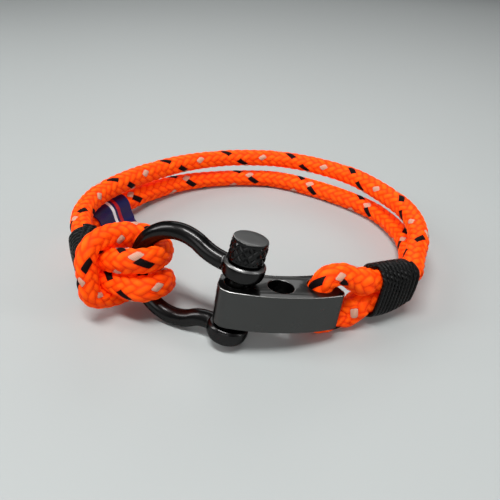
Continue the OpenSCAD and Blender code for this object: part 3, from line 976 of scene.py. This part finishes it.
class BRACELET_OT_bar(bpy.types.Operator):
    """Makes the curved adjuster bar with its three holes"""
    bl_idname = "bracelet.bar"
    bl_label = "Adjuster bar"

    def execute(self, context):
        settings = context.scene.bracelet.metal
        curve = bpy.data.curves.new("bar_plan", "CURVE")
        curve.dimensions = "2D"
        curve.fill_mode = "BOTH"
        curve.extrude = BAR["height"] * MM / 2 - settings.bar_bevel
        curve.bevel_depth = settings.bar_bevel
        curve.bevel_resolution = 2
        curve.offset = -settings.bar_bevel
        for line in bar_outline():
            spline = curve.splines.new("POLY")
            spline.points.add(len(line) - 1)
            for point, (x, y) in zip(spline.points, line):
                point.co = (x * MM, y * MM, 0, 1)
            spline.use_cyclic_u = True
        mesh = baked(linked("bar_plan", curve))
        put(mesh, axes_of(BAR_FRAME), PIN_AT)
        outward(mesh, 2e-6)
        holder = linked("bar_shading", mesh)
        holder.modifiers.new("weighted", "WEIGHTED_NORMAL").weight = 80
        bar = baked(holder)
        satin, painted_highlight_steel, painted_reflection_steel = (coated_steel(settings, name) for name in list(STEELS)[4:])
        show(bar, "curved_bar", satin, "bracelet", "black_bar", "adjuster_bar")
        up = Vector(axes_of(BAR_FRAME)[:, 2])
        holes = [Vector(to_world((k * BAR["pitch"], 0, 0), BAR_FRAME)) * MM for k in (0, 1, 2)]

        # bevels along the bar's top take a painted highlight, and those round its holes a dimmer painted
        # highlight
        def plain_or_painted_edge_or_rim(polygon):
            off = min((polygon.center - at).cross(up).length for at in holes)
            at_edge = BAR_EDGE_LEAN < polygon.normal.dot(up) < TOP_LEAN
            return 0 if not at_edge else 1 if off > RIM_REACH * BAR["hole_r"] * MM else 2

        finish_faces(bar, plain_or_painted_edge_or_rim, painted_highlight_steel, painted_reflection_steel)
        return {"FINISHED"}


# Whippings

WINDING_GAP = 0.05
# How far the right whipping is drawn in at its far end, and where, in shares of its length from its middle
NARROWED = 2.2
NARROW_FROM, NARROW_OVER = -0.2, 0.7
WAVER_SCALE = 420.0
WAVER_SHARE = 0.5
# Pulled tight, a thread lies narrower than its thickness, and each turn presses on the next
THREAD_CLOSER = 1.15
THREAD_OVERLAP = 0.55


def winding_tree():
    """Winds a thread round two cords that lie side by side, and keeps its length and turn for the finish."""
    tree, node, given = new_tree("Thread winding", "Turns", "Length", "Radius", "Half gap", "Thread")
    coil = node("GeometryNodeCurveSpiral", {
        "Resolution": 72, "Rotations": given["Turns"], "Start Radius": given["Radius"],
        "End Radius": given["Radius"], "Height": given["Length"],
    })
    place = node("GeometryNodeInputPosition")
    lean = node("DIVIDE", node("SeparateXYZ", place), given["Radius"])
    spread = node("MINIMUM", node("MAXIMUM", node("MULTIPLY", lean, 3.0), -1.0), 1.0)
    waver = node("SUBTRACT", node("TexNoise", {"Vector": place, "Scale": WAVER_SCALE, "Detail": 1.0}), 0.5)
    uneven = node("MULTIPLY", waver, node("MULTIPLY", given["Thread"], WAVER_SHARE))
    offset = node("CombineXYZ", {
        0: node("MULTIPLY", spread, given["Half gap"]),
        2: node("SUBTRACT", uneven, node("MULTIPLY", given["Length"], 0.5)),
    })
    oval = node("GeometryNodeSetPosition", {"Geometry": coil, "Offset": offset})
    ring = node("GeometryNodeCurvePrimitiveCircle", {"Resolution": 10, "Radius": given["Thread"]})
    marked, section = (
        node("GeometryNodeStoreNamedAttribute",
             {"Geometry": line, "Name": name, "Value": node("GeometryNodeSplineParameter").outputs[key]},
             data_type="FLOAT", domain="POINT")
        for line, name, key in ((oval, "along_thread", "Length"), (ring, "round_thread", "Factor")))
    flat = node("GeometryNodeTransform", {"Geometry": section, "Scale": (0.92, 1.0, 1.0)})
    tube = node("GeometryNodeCurveToMesh", {0: marked, 1: flat, "Fill Caps": True})
    end_tree(node, tube, given["Material"])
    return tree


def narrowed(mesh, length):
    """Draws a winding in at its far end, where the lower strand is pressed flat under the upper one."""
    half_height = (CORD_R + STRAND_OFF) * MM
    for vertex in mesh.vertices:
        far = min(1, max(0, vertex.co.z / length - NARROW_FROM) / NARROW_OVER)
        vertex.co.x += NARROWED * MM * far * far * (1 - vertex.co.x / half_height) / 2


class BRACELET_OT_whippings(bpy.types.Operator):
    """Winds the black thread round both ends of the strands"""
    bl_idname = "bracelet.whippings"
    bl_label = "Whippings"

    def execute(self, context):
        settings = context.scene.bracelet.whipping
        tree, material = winding_tree(), waxed_thread(settings)
        for name, whip, length in (("left_whipping", LEFT_WHIP, settings.left_length),
                                   ("right_whipping", RIGHT_WHIP, settings.right_length)):
            turns = round(length / settings.thickness * THREAD_CLOSER)
            half_wide = length / turns * THREAD_OVERLAP
            mesh = grown(name, tree, {
                "Turns": float(turns - 1), "Length": length - 2 * half_wide, "Half gap": STRAND_OFF * MM,
                "Radius": (CORD_R + WINDING_GAP) * MM + settings.thickness / 2,
                "Thread": half_wide, "Material": material,
            })
            if name == "right_whipping":
                narrowed(mesh, length)
            along, _, up = whip_axes(whip)
            put(mesh, np.column_stack([up, np.cross(along, up), along]), whip.mean(0))
            outward(mesh)
            show(mesh, name + "_thread", material, "bracelet", "black_thread", name)
        return {"FINISHED"}


# Tag

TAG_MID = 2.1
TAG_STEPS = 40
TAG_THICK = 0.26
TAG_GAP = 0.33
TAG_ROUND = (-38, -350, 22)
ROUTE_GAP = 7.5


def route_at(route, t):
    """Place on a route, counted in its points from its first."""
    i = int(t)
    return between(*np.array(route[i - 1:i + 3], float), t - i)


def tag_profile():
    """The ribbon's way round the cord, [inwards, up, along] in mm: in from its end, round, and back."""
    radius = CORD_R + TAG_GAP
    turns = [math.radians(a) for a in np.linspace(*TAG_ROUND)]
    lower = [[6.5, -2.9, -2.0], [5.4, -2.92, -1.35], [4.3, -2.92, -0.75], [3.4, -2.86, -0.3],
             [2.75, -2.45, 0.0], [2.2, -1.85, 0.0]]
    ring = [[radius * math.cos(a), radius * math.sin(a), 0.0] for a in turns]
    upper = [[2.5, -0.55, 0.0], [2.75, -1.35, 0.0], [3.15, -2.1, 0.0], [3.7, -2.47, -0.35],
             [4.5, -2.55, -0.85], [5.5, -2.56, -1.4], [6.6, -2.55, -2.0]]
    return smooth(lower + ring + upper, 4)


class BRACELET_OT_tag(bpy.types.Operator):
    """Folds the satin ribbon tag round the lower strand"""
    bl_idname = "bracelet.tag"
    bl_label = "Ribbon tag"

    def execute(self, context):
        settings = context.scene.bracelet.tag
        half = settings.width / MM / ROUTE_GAP / 2
        path = np.array([route_at(LOWER_ROUTE, t)
                         for t in np.linspace(TAG_MID - half, TAG_MID + half, TAG_STEPS)])
        tangent, side, inwards = (axis[:, None] for axis in carried_frames(path))
        profile = tag_profile()
        run = run_along(profile)
        grid = (path[:, None] + profile[None, :, :1] * inwards + profile[None, :, 1:2] * side
                + profile[None, :, 2:3] * tangent)
        n = len(profile)
        mesh = bpy.data.meshes.new("tag")
        faces = [[i * n + k, i * n + k + 1, (i + 1) * n + k + 1, (i + 1) * n + k]
                 for i in range(TAG_STEPS - 1) for k in range(n - 1)]
        mesh.from_pydata((grid.reshape(-1, 3) * MM).tolist(), [], faces)
        layer = mesh.uv_layers.new(name="UVMap")
        for loop in mesh.loops:
            i, k = divmod(loop.vertex_index, n)
            layer.data[loop.index].uv = (i / (TAG_STEPS - 1) * settings.width / MM, run[k])
        holder = linked("tag_sheet", mesh)
        thick = holder.modifiers.new("thick", "SOLIDIFY")
        thick.thickness = TAG_THICK * MM
        thick.offset = 0
        result = baked(holder)
        result.shade_smooth()
        sharp_over(result, 60)
        tag = show(result, "ribbon_tag", satin_ribbon(settings), "bracelet", "navy_satin", "label_tag")
        return {"FINISHED"}


# Camera, floor and light

CAMERA_AT = (0.0003, -0.0874, 0.056)
CAMERA_DOWN = 33.2
CAMERA_ROLL = 2.5
FOCAL_PIXELS = 480
FRAME_PIXELS = 500
SENSOR = 36


class BRACELET_OT_camera(bpy.types.Operator):
    """Sets the camera where the photo was taken from"""
    bl_idname = "bracelet.camera"
    bl_label = "Camera"

    def execute(self, context):
        data = bpy.data.cameras.new("photo_camera")
        data.sensor_width = SENSOR
        data.lens = FOCAL_PIXELS / FRAME_PIXELS * SENSOR
        data.clip_start, data.clip_end = 0.005, 20
        camera = linked("photo_camera", data)
        camera.matrix_world = (Matrix.Translation(CAMERA_AT)
                               @ Matrix.Rotation(math.radians(90 - CAMERA_DOWN), 4, "X")
                               @ Matrix.Rotation(math.radians(CAMERA_ROLL), 4, "Z"))
        context.scene.camera = camera
        context.scene.view_settings.view_transform = "Standard"
        return {"FINISHED"}


FLOOR_R = 4
ROOM_LIGHT = (0.8, 0.82, 0.85, 1)
ROOM_STRENGTH = 0.14
# Lamps: place, size and watts, in metres; each looks at the bracelet's middle
LAMPS_AIM = (0, 0, 0.01)
LAMPS = {
    "top_softbox": ((-0.06, -0.12, 0.5), (0.3, 0.08), 2.4),
    "back_softbox": ((0.05, 0.6, 0.38), (0.6, 0.25), 0.9),
    "left_softbox": ((-0.42, -0.02, 0.3), (0.12, 0.3), 1.0),
    "right_strip": ((0.42, -0.10, 0.22), (0.1, 0.3), 0.4),
    "front_fill": ((-0.1, -0.5, 0.25), (0.5, 0.25), 0.6),
}


class BRACELET_OT_stage(bpy.types.Operator):
    """Lays the pale floor and hangs the soft studio lamps"""
    bl_idname = "bracelet.stage"
    bl_label = "Stage"

    def execute(self, context):
        settings = context.scene.bracelet.stage
        mesh = bpy.data.meshes.new("floor")
        with edited(mesh) as work:
            bmesh.ops.create_circle(work, cap_ends=True, segments=64, radius=FLOOR_R)
        mesh.materials.append(seamless_paper(settings))
        floor = linked("floor", mesh)
        for name, (at, size, watts) in LAMPS.items():
            data = bpy.data.lights.new(name, "AREA")
            data.shape = "RECTANGLE"
            data.size, data.size_y = size
            data.energy = watts * settings.brightness
            lamp = linked(name, data)
            lamp.location = at
            lamp.rotation_euler = (Vector(LAMPS_AIM) - Vector(at)).to_track_quat("-Z", "Y").to_euler()
        world = bpy.data.worlds.new("studio")
        world.use_nodes = True
        background = world.node_tree.nodes["Background"]
        background.inputs["Color"].default_value = ROOM_LIGHT
        background.inputs["Strength"].default_value = ROOM_STRENGTH
        context.scene.world = world
        return {"FINISHED"}


# Panel and registration

class BRACELET_PT_panel(bpy.types.Panel):
    """Lists the bracelet's pieces and their settings"""
    bl_idname = "BRACELET_PT_panel"
    bl_label = "Nautical Bracelet"
    bl_space_type = "VIEW_3D"
    bl_region_type = "UI"
    bl_category = "Bracelet"

    def draw(self, context):
        settings = context.scene.bracelet
        for operator in OPERATORS:
            self.layout.operator(operator.bl_idname)
        for group in (settings.cord, settings.metal, settings.whipping, settings.tag, settings.stage):
            box = self.layout.box()
            for name in group.__annotations__:
                box.prop(group, name)


GROUPS = (BraceletCord, BraceletMetal, BraceletWhipping, BraceletTag, BraceletStage, BraceletSettings)
OPERATORS = (BRACELET_OT_camera, BRACELET_OT_cord, BRACELET_OT_shackle, BRACELET_OT_bar,
             BRACELET_OT_whippings, BRACELET_OT_tag, BRACELET_OT_stage)


def register():
    for cls in (*GROUPS, *OPERATORS, BRACELET_PT_panel):
        bpy.utils.register_class(cls)
    bpy.types.Scene.bracelet = bpy.props.PointerProperty(type=BraceletSettings)


def unregister():
    del bpy.types.Scene.bracelet
    for cls in reversed((*GROUPS, *OPERATORS, BRACELET_PT_panel)):
        bpy.utils.unregister_class(cls)


def main():
    """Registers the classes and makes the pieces."""
    register()
    bpy.ops.bracelet.camera()
    bpy.ops.bracelet.cord()
    bpy.ops.bracelet.shackle()
    bpy.ops.bracelet.bar()
    bpy.ops.bracelet.whippings()
    bpy.ops.bracelet.tag()
    bpy.ops.bracelet.stage()


if __name__ == "__main__":
    main()
